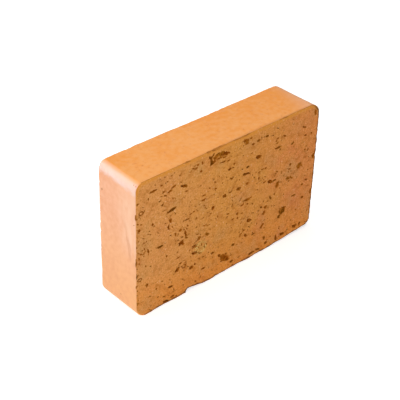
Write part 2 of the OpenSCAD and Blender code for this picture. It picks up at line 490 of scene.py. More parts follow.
def makeWireCut(setup):
    material, add, where, _ = newMaterial("firedClayWireCut")
    at = add("SeparateXYZ", {0: where}).outputs
    clouds = add("TexNoise", {"Vector": where, "Scale": perMm(setup["cloudSize"]), "Detail": 3})
    shifted = add("Mapping", {"Vector": where, "Location": (0.31, 0, 0.17)})
    patches = add("TexNoise", {"Vector": shifted, "Scale": perMm(setup["cloudSize"]), "Detail": 4})
    mottle = add("TexNoise", {"Vector": where, "Scale": perMm(setup["mottleSize"]), "Detail": 5})
    grain = add("TexNoise", {"Vector": where, "Scale": perMm(setup["grainSize"]), "Detail": 3})
    colour = cutColour(add, at, clouds, patches, setup)
    # A smoother, yellower strip along the upper arris
    inside = add("Attribute", attribute_name="fromOutline").outputs["Fac"]
    strip = add("MapRange", {
        "Value": inside, "From Min": setup["rimWidth"] * mm, "From Max": 0.5 * setup["rimWidth"] * mm,
    })
    upper = add("MapRange", {"Value": at[2], "From Min": 0.86 * height, "From Max": 0.95 * height})
    strip = limited(add, strip, upper)
    edgeShade, tearRim = edgeShadeAndTearRims(add, at, mottle, grain, setup)
    yellow, grog = cutCrumbs(add, where, at, mottle, patches, setup)
    # Painted light on the raised grains
    proud = add("MapRange", {"Value": grain, "From Min": 0.56, "From Max": 0.7, "To Max": 0.5})
    # Pinholes too small to model, painted dark as their shade, drawn out the way the wire went, and missing
    # from the strip
    dragged = add("Mapping", {
        "Vector": where, "Scale": (0.6, 1, 1), "Rotation": (0, math.radians(setup["pinholeTilt"]), 0),
    })
    holes = spotsInCells(add, dragged, setup["pinholeSpacing"], edge=(0.3, 0.14), strength=0.65,
                         channel=1, rarity=0.82)
    closed = add("Math", {0: 1.0, 1: strip}, operation="SUBTRACT")
    holes = limited(add, holes, closed)
    colour = layColours(add, colour, setup, (strip, "rim"), (edgeShade, "edgeShade"), (tearRim, "tearRim"),
                        (yellow, "sulphur"), (proud, "proud"), (grog, "grogPale"), (holes, "pinhole"))
    # Hollows of the grain look browner as well as darker
    shade = fromHex(setup["shadeTint"])
    for pattern, least in ((grain, 0.0), (mottle, 0.2)):
        rise = add("MapRange", {"Value": pattern, "From Min": 0.26, "From Max": 0.5, "To Min": least})
        rise = add("Math", {0: strip, 1: 0.6, 2: rise}, operation="MULTIPLY_ADD", use_clamp=True)
        tint = layColours(add, shade, setup, (rise, "lightTint"))
        colour = add("Mix", {0: 1.0, mixA: colour, mixB: tint}, data_type="RGBA", blend_type="MULTIPLY")
    roughness = add("MapRange", {
        "Value": mottle, "From Min": 0.3, "From Max": 0.7,
        "To Min": setup["roughness"][0], "To Max": setup["roughness"][1],
    })
    relief = add("Bump", {"Height": mottle, "Strength": 0.5, "Distance": setup["mottleDepth"] * mm})
    relief = add("Bump", {
        "Height": grain, "Strength": 0.6, "Distance": setup["grainDepth"] * mm, "Normal": relief,
    })
    relief = add("Bump", {
        "Height": holes, "Strength": 0.7, "Distance": setup["pinholeDepth"] * mm, "Normal": relief,
    }, invert=True)
    finishMaterial(add, colour, roughness, relief, setup["sheen"])
    return material


# Fired clay, torn: the raw inside of the body where the wire pulled lumps out, darker and browner with depth,
# partly its own stain and partly painted shade in the pits

tornClay = {
    "rim": "B26818",
    # painted shade in the pits, partly the body's own stain
    "deep": "864206",
    "floor": "B8742A",  # the widest pits are lit down to their floor
    "crumb": "B86C1C",
    "olive": "6C4E0C",  # where the body was starved of air in the kiln
    "sulphur": wireCut["sulphur"],
    "patchSize": 16,  # mm, as all sizes here
    "depths": (0.1, 1.1),  # from the rim's colour to the deep one, below the cut face
    "floorDepths": (1.9, 2.4),
    "grainSize": 0.9,
    "grainDepth": 0.4,
    "crumbSize": 1.6,
    "roughness": 0.95,
    "sheen": 0.04,
}


def makeTornClay(setup):
    material, add, where, _ = newMaterial("firedClayTorn")
    at = add("SeparateXYZ", {0: where}).outputs
    across = add("Math", {0: at[1]}, operation="ABSOLUTE")
    # Painted shade down into the pits, partly the body's own stain
    below = []
    for depths, most in (("depths", 1.0), ("floorDepths", 0.8)):
        start, end = setup[depths]
        below.append(add("MapRange", {
            "Value": across, "From Min": halfThick - start * mm, "From Max": halfThick - end * mm,
            "To Max": most,
        }))
    grain = add("TexNoise", {"Vector": where, "Scale": perMm(setup["grainSize"]), "Detail": 3})
    lumps = add("TexNoise", {"Vector": where, "Scale": perMm(setup["crumbSize"]), "Detail": 2})
    patches = add("TexNoise", {"Vector": where, "Scale": perMm(setup["patchSize"]), "Detail": 1})
    patches = add("MapRange", {"Value": patches, "From Min": 0.5, "From Max": 0.62, "To Max": 0.45})
    crumbs = add("MapRange", {"Value": lumps, "From Min": 0.49, "From Max": 0.62, "To Max": 0.75})
    pale = add("MapRange", {"Value": grain, "From Min": 0.54, "From Max": 0.62, "To Max": 0.7})
    near = aroundSpot(add, at, wireCut["sulphurAt"], wireCut["sulphurReach"])
    colour = layColours(add, fromHex(setup["rim"]), setup, (below[0], "deep"), (patches, "olive"),
                        (below[1], "floor"), (crumbs, "crumb"), (limited(add, pale, near), "sulphur"))
    relief = add("Bump", {"Height": grain, "Strength": 0.7, "Distance": setup["grainDepth"] * mm})
    finishMaterial(add, colour, setup["roughness"], relief, setup["sheen"])
    return material


# Fired clay, rubbed and broken: arrises that handling has crumbled, dull and coarse. They carry painted shade
# where they face right or down, and a thin brown line where they face up.

brokenClay = {
    "body": "C27A34",
    "hollow": "A06224",
    "upper": "CE863A",
    # painted shade on faces that look right or down
    "facingAwayShade": "5E3408",
    "crumbSize": 1.6,  # mm, as all sizes here
    "crumbDepth": 0.6,
    "cloudSize": 5,
    "patchSize": 14,
    "roughness": 0.95,
    "sheen": 0.15,
}


def makeBrokenClay(setup):
    material, add, where, facing = newMaterial("firedClayBroken")
    at = add("SeparateXYZ", {0: where}).outputs
    normal = add("SeparateXYZ", {0: facing}).outputs
    clouds = add("TexNoise", {"Vector": where, "Scale": perMm(setup["cloudSize"]), "Detail": 4})
    crumbs = add("TexNoise", {"Vector": where, "Scale": perMm(setup["crumbSize"]), "Detail": 3})
    hollow = add("MapRange", {"Value": clouds, "From Min": 0.35, "From Max": 0.65})
    patches = add("TexNoise", {"Vector": where, "Scale": perMm(setup["patchSize"]), "Detail": 2})
    patches = add("MapRange", {"Value": patches, "From Min": 0.4, "From Max": 0.6, "To Min": 0.4})
    upper = add("MapRange", {"Value": normal[2], "From Min": 0.1, "From Max": 0.4})
    # Painted shade where the arris faces right or down, away from the lamps, less near the top
    down = add("Math", {0: normal[0], 1: normal[2]}, operation="SUBTRACT")
    down = add("MapRange", {"Value": down, "From Min": 0.1, "From Max": 0.6, "To Max": 0.85})
    spread = add("MapRange", {
        "Value": crumbs, "From Min": 0.3, "From Max": 0.6, "To Min": 1, "To Max": 0.5,
    })
    lessNearTop = add("MapRange", {
        "Value": at[2], "From Min": 0.9 * height, "From Max": 0.97 * height, "To Min": 1, "To Max": 0.25,
    })
    colour = layColours(add, fromHex(setup["body"]), setup, (hollow, "hollow"),
                        (limited(add, upper, patches), "upper"),
                        (limited(add, down, spread, lessNearTop), "facingAwayShade"))
    relief = add("Bump", {"Height": crumbs, "Strength": 0.8, "Distance": setup["crumbDepth"] * mm})
    finishMaterial(add, colour, setup["roughness"], relief, setup["sheen"])
    return material


clays = [makeDieSkin(dieSkin), makeWireCut(wireCut), makeTornClay(tornClay), makeBrokenClay(brokenClay)]
skin, cut, torn, broken = range(4)  # places of the four clays on the brick and on what cuts it
print("clays mixed")


# Small helpers for modelling

def selectOnly(*things):
    bpy.ops.object.select_all(action="DESELECT")
    for thing in things:
        thing.select_set(True)
    bpy.context.view_layer.objects.active = things[0]


def selectEdges(piece, wanted):
    # In edit mode, selects the edges whose two end points pass the test
    mesh = bmesh.from_edit_mesh(piece.data)
    for face in mesh.faces:
        face.select = False
    for edge in mesh.edges:
        edge.select = all(wanted(vert.co) for vert in edge.verts)
    mesh.select_flush_mode()
    bmesh.update_edit_mesh(piece.data)


def sliceAlong(axis, low, high, step):
    # In edit mode, cuts the whole piece across an axis at about every step
    normal = [0, 0, 0]
    normal[axis] = 1
    cuts = max(1, round((high - low) / step))
    for number in range(1, cuts):
        point = [0, 0, 0]
        point[axis] = low + (high - low) * number / cuts
        bpy.ops.mesh.select_all(action="SELECT")
        bpy.ops.mesh.bisect(plane_co=point, plane_no=normal)


def roughen(piece, size, strength, middle=0.5, depth=2, coords="LOCAL", weigh=None):
    # Pushes the surface in and out by a cloud pattern, sizes in millimetres
    texture = bpy.data.textures.new("clayClouds", "CLOUDS")
    texture.noise_scale = size * mm
    texture.noise_depth = depth
    selectOnly(piece)
    modifier = piece.modifiers.new("roughen", "DISPLACE")
    modifier.texture = texture
    modifier.texture_coords = coords
    modifier.strength = strength * mm
    modifier.mid_level = middle
    if weigh:
        group = piece.vertex_groups.new(name="worn")
        for vertex in piece.data.vertices:
            group.add([vertex.index], weigh(vertex.co), "REPLACE")
        modifier.vertex_group = group.name
    bpy.ops.object.modifier_apply(modifier=modifier.name)
    piece.vertex_groups.clear()
    bpy.data.textures.remove(texture)


def dress(piece, clay):
    for material in clays:
        piece.data.materials.append(material)
    for face in piece.data.polygons:
        face.material_index = clay


def cutAway(piece, cutter):
    selectOnly(piece)
    modifier = piece.modifiers.new("cut", "BOOLEAN")
    modifier.operation = "DIFFERENCE"
    modifier.solver = "MANIFOLD"
    modifier.object = cutter
    bpy.ops.object.modifier_apply(modifier=modifier.name)
    bpy.data.objects.remove(cutter)


def countTriangles(piece):
    return sum(len(face.vertices) - 2 for face in piece.data.polygons)


# Brick as extruded, cut and handled, before anything is torn out of it

brickBlock = {
    "upperLeft": 8,  # die corner radii, mm
    "upperRight": 14.5,
    "lowerLeft": 12,
    "lowerRight": 6,
    "cornerSteps": 14,
    "arris": 1.2,
    "arrisSteps": 4,
    "gridStep": 2,
    "cutFrom": 0.7,  # a face is of cut clay when it looks this far forwards or back, where 1 is straight
    "cutFromRubbed": 0.92,  # the same where the arris is broken, on the right and below
    "brokenFrom": 0.35,  # and of broken clay from here up to there
    "aside": 0.15,  # a face that looks this far left, right or down belongs to that side
    "wave": (45, 0.9),  # size across and height, mm
    "ripple": (6, 0.5),
    "rippleBand": 1.5,
    "wear": (5, 1.5),
    "wearReach": 3,
    "wearShares": {"right": 1, "front": 0.45, "back": 0.2},
    "footWear": (18, 2.4),
    "footReach": 6,
    "mostlyOut": 0.4,  # wear leaves most of an arris standing and dips here and there
    "lean": 1.2,  # the right header leans in by so much at its top, mm
    "leanFrom": (0.4, 0.5),  # shares of the height and of the half length where that starts
}


def fromOutline(co):
    # How far a point is inside the die's outline
    upper, right = co.z > height / 2, co.x > 0
    radius = brickBlock[("upper" if upper else "lower") + ("Right" if right else "Left")] * mm
    across = halfLength - abs(co.x)
    up = height - co.z if upper else co.z
    if across < radius and up < radius:
        return radius - math.hypot(radius - across, radius - up)
    return min(across, up)


def keepInside(piece):
    # What would stand out of the brick's box is rubbed flat to it
    for vertex in piece.data.vertices:
        for axis in range(3):
            vertex.co[axis] = min(max(vertex.co[axis], brickLow[axis]), brickHigh[axis])


def makeBlock(setup):
    bpy.ops.object.select_all(action="DESELECT")
    bpy.ops.mesh.primitive_cube_add(size=1, location=(0, 0, height / 2))
    block = bpy.context.object
    block.name = "fired_brick"
    block.scale = (2 * halfLength, 2 * halfThick, height)
    bpy.ops.object.transform_apply(location=True, scale=True)
    bpy.ops.object.mode_set(mode="EDIT")
    bpy.ops.mesh.select_mode(type="EDGE")
    corners = {
        "upperLeft": (-halfLength, height), "upperRight": (halfLength, height),
        "lowerLeft": (-halfLength, 0), "lowerRight": (halfLength, 0),
    }
    for name, (x, z) in corners.items():
        selectEdges(block, lambda co: abs(co.x - x) < mm and abs(co.z - z) < mm)
        bpy.ops.mesh.bevel(offset=setup[name] * mm, segments=setup["cornerSteps"], affect="EDGES")
    for side in (-halfThick, halfThick):
        selectEdges(block, lambda co: abs(co.y - side) < 0.1 * mm)
        bpy.ops.mesh.bevel(offset=setup["arris"] * mm, segments=setup["arrisSteps"], affect="EDGES")
    # A grid right through gives the flat faces points to move
    step = setup["gridStep"] * mm
    for axis, low, high in ((0, -halfLength, halfLength), (1, -halfThick, halfThick), (2, 0, height)):
        sliceAlong(axis, low, high, step)
    bpy.ops.object.mode_set(mode="OBJECT")
    return block


def dressBlock(block, setup):
    # Skin all round, cut clay in front and behind, broken clay on the arrises but the left one
    dress(block, skin)
    aside = setup["aside"]
    for face in block.data.polygons:
        rubbed = face.normal.x > aside or face.normal.z < -aside
        if abs(face.normal.y) > setup["cutFromRubbed" if rubbed else "cutFrom"]:
            face.material_index = cut
        elif abs(face.normal.y) > setup["brokenFrom"] and face.normal.x > -aside:
            face.material_index = broken


def wearBlock(block, setup):
    # Slight waves all over, ripples from the wire, worn arrises and a worn foot
    reach, footReach = setup["wearReach"] * mm, setup["footReach"] * mm

    def onCutFace(co):
        return 1 if halfThick - abs(co.y) < setup["rippleBand"] * mm else 0

    def onArris(co):
        near = 1 - max(halfThick - abs(co.y), fromOutline(co)) / reach
        place = "right" if co.x > 0.9 * halfLength else "front" if co.y < 0 else "back"
        return max(0, near) * setup["wearShares"][place]

    def onFoot(co):
        return max(0, 1 - max(halfThick - abs(co.y), co.z) / footReach)

    roughen(block, *setup["wave"])
    roughen(block, *setup["ripple"], weigh=onCutFace)
    roughen(block, *setup["wear"], middle=setup["mostlyOut"], weigh=onArris)
    roughen(block, *setup["footWear"], middle=setup["mostlyOut"], weigh=onFoot)


def leanHeader(block, setup):
    fromUp, fromAlong = setup["leanFrom"]
    for vertex in block.data.vertices:
        rise = max(0, vertex.co.z / height - fromUp) / (1 - fromUp)
        along = max(0, vertex.co.x / halfLength - fromAlong) / (1 - fromAlong)
        vertex.co.x -= setup["lean"] * mm * rise * along


block = makeBlock(brickBlock)
dressBlock(block, brickBlock)
wearBlock(block, brickBlock)
leanHeader(block, brickBlock)
keepInside(block)
print("block made,", countTriangles(block), "triangles")


# Flakes along the lower front arris: one that broke off sharply, and the worn right end

flakes = {
    "broken": {"start": -55, "length": 26, "reach": (5, 0), "blunt": 4.5},
    "worn": {"start": 45, "length": 71, "reach": (0, 4.4), "blunt": 0},
    "past": 1,  # the cutter's axis stands so far off both faces
    "sides": 32,
    "bluntSteps": 6,
    "slice": 1.5,
    "crumbs": (6, 1.3),
}


def cutFlake(block, start, length, reach, blunt, setup):
    past = setup["past"]
    first, last = (math.hypot(far + past, past) * mm for far in reach)
    middle = ((start + length / 2) * mm, -halfThick - past * mm, -past * mm)
    bpy.ops.object.select_all(action="DESELECT")
    bpy.ops.mesh.primitive_cone_add(
        vertices=setup["sides"], radius1=first, radius2=last, depth=length * mm,
        location=middle, rotation=(0, math.pi / 2, 0),
    )
    flake = bpy.context.object
    bpy.ops.object.transform_apply(location=True, rotation=True)
    bpy.ops.object.mode_set(mode="EDIT")
    if blunt:
        bpy.ops.mesh.select_mode(type="EDGE")
        selectEdges(flake, lambda co: abs(co.x - start * mm) < 0.1 * mm)
        bpy.ops.mesh.bevel(offset=blunt * mm, segments=setup["bluntSteps"], affect="EDGES")
    sliceAlong(0, start * mm, (start + length) * mm, setup["slice"] * mm)
    bpy.ops.object.mode_set(mode="OBJECT")
    dress(flake, broken)
    roughen(flake, *setup["crumbs"])
    cutAway(block, flake)


for name in ("broken", "worn"):
    cutFlake(block, **flakes[name], setup=flakes)

# The lower right corner is knocked round: what is outside an egg-shaped corner goes

knockedCorner = {
    "middle": (104.8, 14, 13),  # along, behind the front face and up, mm
    "radii": (15.2, 19.1, 15.2),
    "steps": (64, 40),
    "crumbs": (4, 0.7),
}


def cutCorner(block, setup):
    along, behind, up = setup["middle"]
    low = Vector((along, -halfThick / mm - 1, -1))
    high = Vector((halfLength / mm + 2, behind - halfThick / mm, up))
    bpy.ops.object.select_all(action="DESELECT")
    bpy.ops.mesh.primitive_cube_add(size=1, location=(low + high) / 2 * mm)
    corner = bpy.context.object
    corner.scale = (high - low) * mm
    bpy.ops.object.transform_apply(location=True, scale=True)
    dress(corner, broken)
    around, upwards = setup["steps"]
    bpy.ops.object.select_all(action="DESELECT")
    bpy.ops.mesh.primitive_uv_sphere_add(
        segments=around, ring_count=upwards, radius=mm,
        location=(along * mm, behind * mm - halfThick, up * mm),
    )
    egg = bpy.context.object
    egg.scale = setup["radii"]
    bpy.ops.object.transform_apply(location=True, scale=True)
    dress(egg, broken)
    cutAway(corner, egg)
    roughen(corner, *setup["crumbs"])
    cutAway(block, corner)


cutCorner(block, knockedCorner)
print("flakes cut,", countTriangles(block), "triangles")


# Tears, pits, chips and pores. Each is a dented lump pressed into a face: mm from the middle of
# the face and up from its foot, length, width, depth, tilt in degrees.

tearsSeen = [
    # torn patch by the upper arris, with a streak at one end and a hole at the other
    (-21.5, 138, 9, 4, 0.6, 20), (-15.5, 138, 8, 4.6, 0.6, -10), (-18, 134.6, 9, 2, 0.6, -6),
    (-28, 135.8, 2.8, 10, 1.8, 6), (-26.2, 132.6, 7.5, 3, 1.6, 24),
    (-10.4, 136.2, 8, 3.6, 1.8, -16), (-30, 139.5, 2.2, 4, 1.2, 30),
    (-20, 139.5, 5, 1.8, 1.0, 24), (-14.5, 136.4, 4, 1.5, 0.9, -20), (-23.5, 135.6, 3, 1.3, 0.9, 10),
    (-12, 133.2, 5, 1.8, 0.8, -4), (-13, 128.6, 6.5, 1.6, 0.8, -4), (-26, 140.5, 4, 2, 1.2, 60),
    # upper left
    (-95, 132.1, 9, 2.2, 1.3, 6), (-76.7, 124, 5.5, 2.4, 1.2, 8), (-72, 127, 4.5, 2, 1.0, 20),
    (-82, 121.6, 3.4, 1.8, 1.0, -10), (-60.3, 122.6, 7.5, 3, 1.8, -22), (-57, 115.7, 3.2, 1.6, 0.9, -15),
    (-85.2, 113.2, 3, 2.4, 1.4, 30), (-88, 118.5, 3.4, 1.4, 0.7, 0), (-101, 126, 1.6, 3, 0.9, 10),
    (-65.3, 135.6, 2.2, 1.6, 0.9, 0), (-49.4, 136, 3.2, 1.6, 0.8, -20), (-46, 135, 3.4, 2, 1.0, 10),
    (-44.2, 138, 2.8, 2.6, 0.9, 40), (-47.8, 138.2, 2, 1.3, 0.7, 0), (-51.6, 134.4, 2, 1.2, 0.6, 20),
    (-39, 137.6, 2, 3, 0.9, 0), (-40.4, 129.6, 3.2, 2, 1.2, -20), (-96, 97.3, 2.6, 3, 1.2, 20),
    (-109, 103.2, 1.8, 2.2, 1.0, 0), (-111.5, 97.5, 3.2, 3.2, 1.6, 0), (-74.2, 103.2, 10.5, 3, 1.9, 13),
    (-83.5, 126, 4, 1.5, 0.9, 20), (-74, 126.6, 3.4, 1.4, 0.8, 35), (-86.5, 122.6, 3, 1.2, 0.7, 0),
    # middle left
    (-88, 69.6, 8.5, 1.6, 1.0, 2), (-69.7, 75, 2, 3.4, 1.0, 10), (-63.5, 76.5, 3.4, 3, 1.1, 40),
    (-57.5, 71, 2.2, 5, 1.1, 6), (-109.5, 71.5, 3, 2, 1.0, -30), (-105.5, 75.5, 2, 2.6, 0.9, 10),
    (-56, 64.5, 4, 1.8, 0.9, -20), (-59.6, 59.2, 3, 2.4, 1.0, 40), (-40, 57.2, 3.6, 3, 1.2, 20),
    (-29.5, 56, 3.4, 2.6, 0.8, 60), (-43.8, 70.6, 2.6, 1.6, 0.8, 0), (-34, 67.8, 3.2, 1.5, 0.8, -30),
    (-29.6, 66, 2.6, 1.4, 0.7, -20), (-17.2, 70.6, 1.4, 3.4, 0.8, 0), (-47.6, 89.6, 2.8, 1.6, 0.8, 0),
    (-75.7, 92.3, 3, 5.5, 1.4, 20), (-77.7, 86.3, 2, 5.2, 1.3, -4), (-35.9, 102.2, 5, 1.6, 0.9, -4),
    (-35.9, 97.3, 5.8, 2.1, 1.1, 0), (-24, 82.8, 4, 4, 1.5, 0), (-26.5, 77.9, 3.2, 1.6, 0.8, 0),
    (-33.9, 87.8, 2.3, 2.1, 0.9, -30), (-55.3, 84.8, 6.5, 1.5, 0.9, 3), (-51.3, 88.8, 3, 1.5, 0.8, 0),
    (-54.8, 77.4, 2.7, 2, 1.0, -30), (-63.1, 75.9, 2.8, 2, 0.9, 20), (-56.8, 68.4, 2.2, 6.5, 1.2, 5),
    (-62.3, 61.4, 6, 4, 2.0, -6), (-69.3, 74.4, 1.6, 3.2, 1.0, 15), (-101.1, 70.9, 2, 5, 1.2, 12),
    (-87.2, 68.9, 6.5, 1.6, 1.1, 3), (-111.5, 67, 1.8, 3, 0.9, 0), (-111.5, 62, 1.8, 2.4, 0.9, 0),
    (-79.7, 55, 2.1, 2.8, 1.1, 0), (-40.4, 56, 2.2, 3.4, 1.2, 20), (-31, 57, 3, 4, 0.9, 10),
    (-45.4, 50, 6.5, 3.4, 1.8, -12), (-45.4, 42, 7.5, 3.6, 2.0, -16), (-33.2, 43.5, 1.6, 5, 1.1, 25),
    (-38, 38.5, 5, 1.6, 1.0, -10), (-36.6, 47.5, 1.4, 3.4, 0.9, 20), (-40, 46, 1.6, 2.6, 0.9, -20),
    (-30.6, 45.6, 1.6, 3.6, 0.9, 30), (-28, 55.4, 2.4, 1.6, 0.8, 0),
    # lower left
    (-102.6, 33.6, 3, 4, 1.5, 10), (-66.3, 33.1, 6.5, 3.6, 1.9, 28), (-62.8, 38.5, 3, 2, 1.1, -20),
    (-49.4, 26.6, 5, 3.6, 1.8, -10), (-44.4, 28.6, 2.6, 2.8, 1.3, 30), (-22, 30.8, 4.4, 2, 1.1, -10),
    (-13, 23.2, 4.6, 3, 1.2, -50), (-8.6, 18.8, 6, 6.4, 0.8, -10), (-4.6, 16.6, 7, 5.6, 1.4, -50),
    (-9.5, 15.6, 4, 3, 1.1, 20), (-2, 13.6, 4.6, 4, 1.6, 10), (-4, 21, 4, 2, 0.9, -40),
    (-74.7, 17.2, 6.4, 2.4, 1.3, -6),
    (-71.7, 4.5, 5, 2, 1.2, 5), (-91.6, 23.6, 2, 3, 1.0, 0), (-43.4, 7.7, 2, 3, 1.0, 20),
    (-33.4, 18.2, 5, 2.4, 0.9, 0), (-65.3, 46.5, 4, 1.8, 0.9, 0), (-80, 2.8, 6.5, 3.6, 2.2, -8),
    (-89.5, 13, 2.4, 2, 0.8, 0), (-82, 9.5, 3, 1.8, 0.8, -30),
    # upper right
    (14.5, 140.2, 7, 3.6, 0.6, -20), (16.5, 137, 4, 3, 0.7, 10), (12.6, 139.4, 2, 1.6, 1.1, 0),
    (17.4, 139.6, 2.6, 1.8, 1.1, -30), (14.6, 136.6, 2, 2.4, 1.0, 20), (21.4, 140.5, 2.4, 3, 0.8, 0),
    (24.4, 132.6, 4.2, 2.4, 1.2, -10), (42.3, 134.6, 4.4, 2.6, 1.3, -20), (66.7, 125.4, 4.6, 2, 1.2, -25),
    (57.2, 126.1, 3, 2, 1.0, 0), (57.2, 121.1, 3, 1.8, 0.9, 0), (94, 124.9, 6, 1.9, 1.2, -22),
    (32.3, 115.7, 7.4, 3.4, 2.0, -18), (58.7, 115.7, 9, 2.3, 1.0, -4), (79.6, 113.2, 2.6, 2.2, 1.0, 0),
    (96.5, 115.2, 3.4, 2, 1.1, -20), (105, 114.2, 2.6, 2.2, 1.0, 0), (18.9, 110.2, 4.4, 2.4, 1.6, 4),
    (14.9, 103.7, 4.4, 2.5, 1.3, 0), (21.4, 102.2, 3.4, 1.6, 0.9, -30), (43.3, 99, 3, 2.6, 1.5, 0),
    (35.3, 98.3, 2.4, 2.2, 1.0, -30), (-4.6, 117.2, 4.4, 2.5, 1.6, 4), (-2, 106.2, 3.6, 2, 1.0, -30),
    (1, 121, 3, 2, 1.0, -10), (-22.5, 110.7, 2.2, 2.2, 1.0, 0), (-21.5, 103.2, 3, 2, 1.0, -20),
    (17.6, 103.4, 8, 2.2, 1.3, -8), (34.6, 97.6, 3, 1.8, 0.8, 0), (-6.4, 127.4, 4, 1.5, 0.8, 0),
    (31, 134, 4.6, 2.4, 0.9, 0), (55.4, 124, 2.8, 2, 0.8, 30), (78, 112.4, 3, 2.2, 0.9, 10),
    (97.6, 98.5, 2.4, 3, 0.8, 20), (101.5, 96.4, 2.4, 1.8, 0.8, 0), (99, 102, 2, 2, 0.7, 0),
    # middle right
    (42.6, 83.6, 4, 1.4, 0.9, 4), (56.4, 79.6, 3, 2.4, 1.1, 0),
    (8, 90.4, 6, 3, 0.9, 0), (20, 73, 9, 2.6, 0.9, -4), (14, 69.6, 5, 1.6, 0.8, 20),
    (61, 72.4, 5, 5.4, 0.5, 30), (74.6, 74.6, 3, 2.2, 0.9, 50), (79.6, 73.8, 2.4, 3, 0.9, 0),
    (77.8, 70.4, 2.6, 1.8, 0.8, 0), (90.4, 82.2, 5, 6, 0.45, 20), (92.6, 84, 4.6, 1.4, 0.8, 30),
    (-4, 67.6, 3.6, 2, 0.9, 0), (2.8, 58.4, 2.8, 1.8, 0.8, 0), (46.4, 52.6, 5.6, 2, 0.9, -40),
    (45, 47.4, 5, 2.6, 0.9, 50), (72, 57, 1.8, 2.4, 0.7, 0), (58.6, 63, 2, 2.6, 0.8, 0),
    (34.8, 91.3, 2.6, 2.6, 1.1, -30), (8.5, 90.8, 6.4, 2, 1.1, 0), (19.4, 91.8, 4, 2, 1.0, 0),
    (-9.5, 90.3, 4.4, 4, 1.7, -20), (-2.6, 91.3, 3.4, 1.6, 0.9, 0), (50.7, 80.8, 7.6, 3.8, 2.1, -30),
    (57.7, 79.9, 3.2, 2, 1.2, -10), (43.8, 83.3, 2.7, 1.7, 1.0, 0), (78.1, 89.3, 3, 2.8, 1.3, -30),
    (77.6, 84.3, 3.4, 1.6, 0.9, -10), (61.7, 72.9, 7.5, 3.2, 1.1, 74), (76.1, 74.4, 3, 4, 0.8, 20),
    (81.6, 72.4, 3.2, 2, 0.8, -30), (91, 82.3, 2.4, 2.4, 0.8, 20), (94.5, 82, 2, 3.4, 0.7, 0),
    (19.9, 72.9, 4.4, 3, 0.8, -20), (25.9, 73.4, 3.2, 1.6, 0.8, 0), (14.4, 69.4, 4.4, 2, 0.9, 10),
    (21.4, 67.9, 2.4, 2, 1.0, -20), (8.5, 62.4, 3, 3, 1.3, -30), (9, 57, 2.2, 2.6, 1.1, 0),
    (52.7, 61.4, 5.4, 2.4, 1.2, -60), (47.3, 53, 3.4, 2.8, 1.1, -30), (41.3, 55, 4.4, 1.7, 0.9, -15),
    (45.3, 46.5, 3, 4.4, 1.1, 10), (24.4, 47.5, 6.4, 3.6, 1.9, -24), (104, 61, 4, 2, 1.2, -10),
    (98.5, 57.5, 3.2, 2.2, 1.0, 0), (86.6, 49.5, 6, 1.7, 0.9, -5), (100.5, 41.7, 4.4, 2.4, 1.3, -15),
    # lower right
    (72, 38, 8.4, 7.4, 2.8, 30), (67.8, 32.2, 4.6, 3.4, 1.9, 45), (18.4, 38.1, 3.2, 2, 1.0, -10),
    (32, 27.6, 6, 1.6, 0.8, 6), (43.4, 31.6, 4.4, 2.6, 1.0, 40), (13.6, 33.4, 2.6, 2.2, 0.8, 0),
    (21.6, 30.2, 4, 2, 1.0, -30), (48, 14.6, 2.4, 4, 1.0, 30),
    (14.9, 35.6, 3, 2, 0.9, 0), (20.9, 31.6, 3.4, 2.4, 1.2, -20), (44.8, 33.1, 4.2, 2.4, 1.2, 10),
    (42.6, 30.4, 2.8, 2.2, 1.1, 20), (5, 27.6, 4.4, 2.8, 1.4, -10), (48.3, 15.7, 4.6, 2.2, 1.1, -55),
    (31, 4.9, 9, 2.8, 1.6, 6), (39.5, 5.4, 6, 2.4, 1.3, -20), (51.2, 8, 4, 3.6, 1.2, 0),
    (65.2, 7.5, 2.8, 6.5, 1.6, 8), (74, 8, 6.4, 3.4, 1.4, -10), (92.5, 9.4, 7, 4, 1.4, -15),
    (99.5, 9, 2.8, 4.6, 1.2, 0), (4, 8.2, 4.4, 3, 1.5, 0), (5.5, 2.6, 3, 2, 1.0, -30),
    (108, 136, 3, 6, 0.9, 15), (111, 86, 4, 6, 1.0, 10), (112, 44, 3, 6, 0.9, 0),
]

# Chips centred on an arris of the front cut face
chipsSeen = [
    (-19, 146, 20, 3.2, 1.6, 2), (-57, 146, 9, 1.8, 1.2, -4), (-31, 146, 6, 2.6, 1.6, 8),
    (10, 146, 26, 1.6, 0.8, 0), (62, 146, 18, 1.4, 0.7, 0), (-15, 0, 10, 1.6, 1.2, 0),
    (12, 0, 14, 1.8, 1.3, 0), (115, 117, 8, 2, 1.2, 90), (115, 97, 7, 1.8, 1.1, 90),
    (115, 86, 8, 2.2, 1.2, 90), (115, 44, 8, 2, 1.2, 90), (115, 127, 7, 2.4, 1.4, 90),
    (115, 107, 6, 1.5, 1.0, 90), (115, 74, 7, 1.5, 1.0, 90), (115, 58, 8, 1.7, 1.0, 90),
    (115, 30, 7, 1.8, 1.1, 90), (-115, 112, 7, 2.2, 1.3, 90), (-115, 64, 12, 1.9, 1.2, 90),
    (-115, 37, 5, 2, 1.3, 90),
]

# Marks in the die skin of the left header
headerMarks = [
    (21, 143.5, 1.6, 1.2, 3.2, 0), (-21, 119, 3.2, 1.1, 0.7, 86), (23, 104, 1.8, 1.2, 0.6, 70),
    (3, 16, 2.2, 0.9, 0.4, -30),
]

